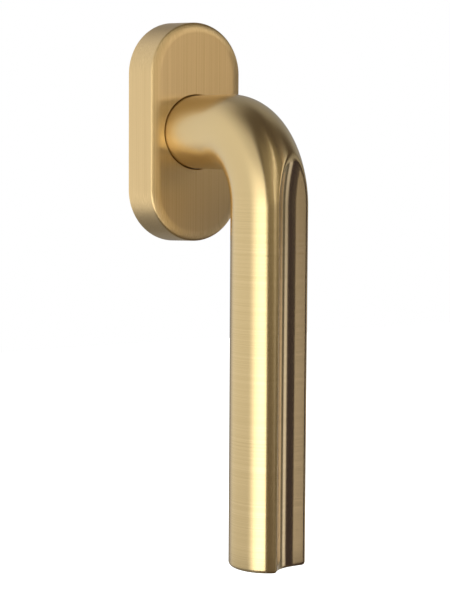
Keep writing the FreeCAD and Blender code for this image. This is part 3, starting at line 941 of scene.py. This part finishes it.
@dataclass
class FixingScrew:
    """Countersunk M5 screw with a rolled thread and a cross recess.

    The flats at root and crest are shares of half a pitch. The recess has its length and width at the top,
    and tapers to a share of them.
    """

    name: str
    node: str
    height: float
    radius: float = 2.5
    root_radius: float = 2.03
    pitch: float = 0.8
    root_flat: float = 0.14
    crest_flat: float = 0.12
    head_radius: float = 4.65
    head_rim: float = 0.35
    rim_edge: Span = (0.1, 0.12)
    head_top: float = 6.7
    tip: float = -18.3
    tip_taper: float = 0.8
    thread_top: float = 3.2
    recess_length: float = 4.9
    recess_width: float = 1.05
    recess_reach: float = 2.2
    recess_taper: float = 0.55
    recess_above: float = 1.0
    sides: int = 48
    rings_per_turn: int = 8
    sharp_angle: float = 40.0

    def build(self, materials: Materials) -> None:
        """Models and dresses the screw.

        Args:
            materials: Material of each slot.
        """
        bpy.ops.mesh.primitive_circle_add(
            vertices=self.sides,
            radius=self.radius * MM,
            fill_type="NGON",
            location=(0.0, -self.tip * MM, self.height * MM),
            rotation=(math.pi / 2, 0.0, 0.0),
        )
        screw = name_new(self.name)
        self.draw_shank(screw)
        self.roll_thread(screw)
        self.draw_head(screw)
        self.punch_recess(screw)
        close_and_smooth(screw, math.radians(self.sharp_angle))
        attach(screw, "base", "plated_steel", materials, self.node)

    def draw_shank(self, screw: Piece) -> None:
        """Extrudes the threaded stretch and divides it into rings.

        Args:
            screw: Round face at the tip.
        """
        length = self.thread_top - self.tip
        edit_all()
        extrude(0.0, -length, 0.0)
        longer = length / 2 * MM
        choose(screw, lambda edge: abs(edge.verts[0].co.y - edge.verts[1].co.y) > longer, edges=True)
        rings = round(length / self.pitch * self.rings_per_turn)
        bpy.ops.mesh.subdivide(number_cuts=rings - 1)
        bpy.ops.object.mode_set(mode="OBJECT")

    def roll_thread(self, screw: Piece) -> None:
        """Moves the shank's rings in and out along a helix.

        Args:
            screw: Screw with its divided shank.
        """
        for vert in screw.data.vertices:
            depth = -vert.co.y / MM
            across, up = vert.co.x / MM, vert.co.z / MM - self.height
            angle = math.atan2(across, up)
            turns = depth / self.pitch - angle / math.tau
            flank = abs(2 * (turns - math.floor(turns)) - 1)
            crest = clamp((flank - self.root_flat) / (1 - self.root_flat - self.crest_flat))
            run_out = clamp((self.thread_top - depth) / self.pitch)
            radius = self.root_radius + (self.radius - self.root_radius) * (1 - (1 - crest) * run_out)
            taper = max(self.tip + self.tip_taper - depth, 0.0)
            radius = min(radius, self.radius - taper)
            vert.co.x = radius * math.sin(angle) * MM
            vert.co.z = (self.height + radius * math.cos(angle)) * MM

    def draw_head(self, screw: Piece) -> None:
        """Extrudes the plain shank, the countersunk head and its rim from the shank's end.

        Args:
            screw: Screw with its thread.
        """
        rim_low = self.head_top - self.head_rim
        cone_low = rim_low - (self.head_radius - self.radius)
        edge_height, edge_width = self.rim_edge
        rings = (
            (cone_low, self.radius),
            (rim_low, self.head_radius),
            (self.head_top - edge_height, self.head_radius),
            (self.head_top, self.head_radius - edge_width),
        )
        bpy.ops.object.mode_set(mode="EDIT")
        choose(screw, lambda vert: abs(vert.co.y + self.thread_top * MM) < TINY)
        depth_before, radius_before = self.thread_top, self.radius
        for depth, radius in rings:
            move = (0.0, depth_before - depth, 0.0)
            extrude_ring(move, radius / radius_before, (0.0, -depth, self.height))
            depth_before, radius_before = depth, radius
        point_outwards()

    def punch_recess(self, screw: Piece) -> None:
        """Cuts the tapered cross recess into the head.

        Args:
            screw: Screw with its head.
        """
        bottom = -(self.head_top - self.recess_reach) * MM
        reach = (self.recess_reach + self.recess_above) * MM
        for turn in (0.0, math.pi / 2):
            bpy.ops.mesh.primitive_cube_add(
                size=1.0,
                location=(0.0, bottom - reach / 2, self.height * MM),
                rotation=(0.0, turn, 0.0),
                scale=(self.recess_length * MM, reach, self.recess_width * MM),
            )
            wing = name_new("recess_wing")
            bpy.ops.object.mode_set(mode="EDIT")
            choose(wing, lambda vert: abs(vert.co.y - bottom) < TINY)
            bpy.ops.transform.resize(
                value=(self.recess_taper, 1.0, self.recess_taper),
                center_override=(0.0, bottom, self.height * MM),
            )
            bpy.ops.object.mode_set(mode="OBJECT")
            cut(screw, wing)


# Camera, light and surroundings


@dataclass
class PhotoCamera:
    """Camera at the photograph's viewing angle, turned about its target by angles in radians."""

    target: Triple = (6.272, -20.0, -40.061)
    yaw: float = 0.5584
    pitch: float = 0.0731
    roll: float = 0.0057
    distance: float = 500.46
    lens: float = 99.16
    sensor: float = 36.0
    shift_y: float = -0.0583

    def build(self) -> None:
        """Places the camera and makes it the scene's."""
        turned = (
            Matrix.Rotation(-self.yaw, 4, "Z")
            @ Matrix.Rotation(math.pi / 2 - self.pitch, 4, "X")
            @ Matrix.Rotation(self.roll, 4, "Z")
        )
        away = turned.col[2].xyz
        turned.translation = (Vector(self.target) + away * self.distance) * MM
        lens = bpy.data.cameras.new("photo_camera")
        lens.lens = self.lens
        lens.sensor_width = self.sensor
        lens.shift_y = self.shift_y
        lens.clip_start = 0.01
        lens.clip_end = 20.0
        camera = bpy.data.objects.new("photo_camera", lens)
        bpy.context.scene.collection.objects.link(camera)
        camera.matrix_world = turned
        bpy.context.scene.camera = camera


@dataclass(frozen=True)
class Patch:
    """Softbox, card or wall, painted on a dome round the handle with soft edges.

    Angles are degrees, azimuth 0 is the front, and plus is to the right. Levels are its brightness below
    and above, where white paper in plain light is 1. Blurs are the widths of its edges: where it starts and
    ends, and below and above. Above an elevation it leans, by a shift to the right for each degree of rise,
    and there its side edges widen by the softening for each degree.
    """

    name: str
    azimuths: Span
    heights: Span
    levels: Span
    side_blurs: Span = (2.0, 2.0)
    level_blurs: Span = (4.0, 4.0)
    lean: Span = (0.0, 0.0)
    soften: float = 0.0
    colour: str = "#FFFFFF"

    def cover(self, azimuth: float, height: float) -> float:
        """Says how far the patch covers a direction.

        Args:
            azimuth: Azimuth in degrees.
            height: Elevation in degrees.

        Returns:
            Share from 0 to 1.
        """
        lean_from, shift = self.lean
        rise = max(height - lean_from, 0.0)
        share = 1.0
        for angle, (low, high), (low_blur, high_blur), softer in (
            (azimuth - shift * rise, self.azimuths, self.side_blurs, self.soften * rise),
            (height, self.heights, self.level_blurs, 0.0),
        ):
            share *= ease((angle - low) / (low_blur + softer) + 0.5)
            share *= ease((high - angle) / (high_blur + softer) + 0.5)
        return share

    def light(self, height: float) -> Vector:
        """Works out its light at an elevation.

        Args:
            height: Elevation in degrees.

        Returns:
            Red, green and blue.
        """
        low, high = self.heights
        low_level, high_level = self.levels
        level = low_level + (high_level - low_level) * clamp((height - low) / (high - low))
        return Vector(linear(self.colour)[:3]) * level


@dataclass
class Studio:
    """Pale floor and white surroundings, with softboxes and dark cards as for a photograph of brass.

    Its sizes are metres. Where no patch covers the dome, it has the gloom's light.
    """

    centre: Triple = (0.0, -0.04, -0.05)
    radius: float = 0.85
    columns: int = 360
    rows: int = 90
    floor_height: float = -0.9
    floor_size: float = 12.0
    floor_lift: float = 0.6
    gloom: float = 0.09
    gloom_colour: str = "#FFEBDA"
    patches: tuple[Patch, ...] = (
        Patch("low_left_wall", (-215, -70), (-90, -24), (0.22, 0.22), level_blurs=(4, 20)),
        Patch("left_wall", (-178, -42), (-26, 61.5), (0.84, 0.78), (44, 5), (30, 50), (20, -0.5),
              soften=0.6),
        Patch("key_softbox", (-76, -42), (-34, 42), (3.1, 0.4), (36, 4), (12, 22), (20, -0.5), soften=0.6),
        Patch("key_foot", (-60, -37), (-32, -4), (2.6, 2.6), (12, 3), (14, 4)),
        Patch("front_haze", (-42, 24), (0, 58), (0.26, 0.26), (2, 20), (4, 30), colour="#FFF4DC"),
        Patch("front_glow", (-28, -8), (0, 58), (0.54, 0.46), (26, 14), (4, 24), (20, 0.55),
              colour="#FFF4DC"),
        Patch("front_strip", (-17.4, -15.2), (2, 54), (1.6, 3.7), (1, 1), (4, 24), (20, 0.6)),
        Patch("front_foot", (-36.5, 6), (-50, -2), (0.14, 0.14), (2, 6), colour="#FFEBDA"),
        Patch("front_right_foot", (4, 24), (-16, 0), (0.1, 0.1), (6, 8)),
        Patch("low_front_card", (-2, 20), (-50, -17), (0.36, 0.36), (6, 8)),
        Patch("low_strip", (-14, -11), (-14, -2), (0.5, 0.5)),
        Patch("front_right_wall", (12, 31), (2.2, 36), (1.35, 1.55), (6, 2), (2, 6), (10, 0.6),
              colour="#FFF1E3"),
        Patch("facet_card", (31, 34.5), (-45, 0), (0.96, 0.96), (1, 1), (4, 6), colour="#FCF8FF"),
        Patch("black_card", (34.5, 68.5), (-60, 14), (0.055, 0.055), (1, 2), colour="#F1DDFF"),
        Patch("high_right_wall", (36, 56), (19, 40), (0.85, 0.85), (8, 8), (8, 12)),
        Patch("right_window", (68.5, 83.5), (-27, -2), (1.15, 1.15), level_blurs=(10, 6), colour="#E6E6F4"),
        Patch("right_wall", (72, 112), (4, 20), (0.5, 0.5), (6, 16), (4, 10)),
        Patch("right_haze", (84, 112), (-30, 20), (0.1, 0.1), (2, 16), (4, 16)),
        Patch("far_right_wall", (100, 170), (-40, 62), (0.33, 0.33), (30, 2), (4, 20)),
    )

    def build(self) -> None:
        """Builds the world, the floor and the dome."""
        self.world()
        self.floor()
        self.dome()
        bpy.context.scene.view_settings.view_transform = "Standard"

    def world(self) -> None:
        """Surrounds everything with plain white."""
        world = bpy.data.worlds.new("white_studio")
        world.use_nodes = True
        tree = world.node_tree
        tree.nodes.clear()
        white = add_node(tree, "Background", {"Color": linear("#FFFFFF"), "Strength": 1.0})[0]
        add_node(tree, "OutputWorld", {"Surface": white})
        bpy.context.scene.world = world

    def floor(self) -> None:
        """Lays the pale floor below the handle."""
        bpy.ops.mesh.primitive_plane_add(size=self.floor_size, location=(0.0, 0.0, self.floor_height))
        piece = name_new("floor")
        made, tree = empty_material("pale_floor")
        ray = add_node(tree, "LightPath")
        seen = ray["Is Camera Ray"]
        for kind in ("Is Glossy Ray", "Is Transmission Ray"):
            seen = add_node(tree, "Math", {0: seen, 1: ray[kind]}, operation="MAXIMUM")[0]
        diffuse = add_node(tree, "BsdfDiffuse", {"Color": linear("#F4F4F2")})[0]
        lift = add_node(tree, "Emission", {"Color": linear("#FFFFFF"), "Strength": self.floor_lift})[0]
        nothing = add_node(tree, "Emission", {"Strength": 0.0})[0]
        lift = add_node(tree, "MixShader", {0: seen, 1: nothing, 2: lift})[0]
        surface = add_node(tree, "AddShader", {0: diffuse, 1: lift})[0]
        add_node(tree, "OutputMaterial", {"Surface": surface})
        piece.data.materials.append(made)

    def dome(self) -> None:
        """Closes a glowing dome round the handle that reflections see and the camera doesn't."""
        centre = Vector(self.centre)
        places, light = [], []
        for row in range(self.rows + 1):
            height = -90.0 + 180.0 * row / self.rows
            rise = math.radians(height)
            for column in range(self.columns + 1):
                azimuth = -180.0 + 360.0 * column / self.columns
                turn = math.radians(azimuth)
                level = Vector((math.sin(turn), -math.cos(turn), 0.0)) * math.cos(rise)
                places.append(centre + (level + Vector((0.0, 0.0, math.sin(rise)))) * self.radius)
                light.extend((*self.light(azimuth, height), 1.0))
        across = self.columns + 1
        faces = [
            (first, first + 1, first + across + 1, first + across)
            for row in range(self.rows)
            for first in range(row * across, row * across + self.columns)
        ]
        mesh = bpy.data.meshes.new("studio_dome")
        mesh.from_pydata(places, [], faces)
        mesh.color_attributes.new("light", "FLOAT_COLOR", "POINT").data.foreach_set("color", light)
        dome = bpy.data.objects.new("studio_dome", mesh)
        bpy.context.scene.collection.objects.link(dome)
        made, tree = empty_material("studio_light")
        painted = add_node(tree, "Attribute", attribute_name="light")["Color"]
        glow = add_node(tree, "Emission", {"Color": painted, "Strength": 1.0})[0]
        add_node(tree, "OutputMaterial", {"Surface": glow})
        mesh.materials.append(made)
        dome.visible_camera = False

    def light(self, azimuth: float, height: float) -> Vector:
        """Paints the patches over each other in one direction.

        Args:
            azimuth: Azimuth in degrees, from -180 to 180.
            height: Elevation in degrees.

        Returns:
            Red, green and blue.
        """
        light = Vector(linear(self.gloom_colour)[:3]) * self.gloom
        for patch in self.patches:
            share = max(patch.cover(azimuth, height), patch.cover(azimuth - 360.0, height))
            if share > 0:
                light = light.lerp(patch.light(height), share)
        return light


def dress_nodes(materials: Materials) -> None:
    """Gives every CAD node the finish of its material slot.

    Args:
        materials: Material of each slot.
    """
    for subpart in FRAME["record"]["subparts"]:
        node = FRAME["nodes"][subpart["node"]]
        node.data.materials.clear()
        node.data.materials.append(materials[subpart["material_slot"]])


def main() -> None:
    """Builds the dressed handle in its studio."""
    logging.basicConfig(level=logging.INFO, format="%(name)s: %(message)s")
    PhotoCamera().build()
    Studio().build()
    materials = {slot: finish.material() for slot, finish in FINISHES.items()}
    dress_nodes(materials)
    Lever().build(materials)
    Rosette().build(materials)
    for end, height in (("upper", 21.5), ("lower", -21.5)):
        FixingScrew("threaded_screw_" + end, "fixing_screw_" + end, height).build(materials)


if __name__ == "__main__":
    main()
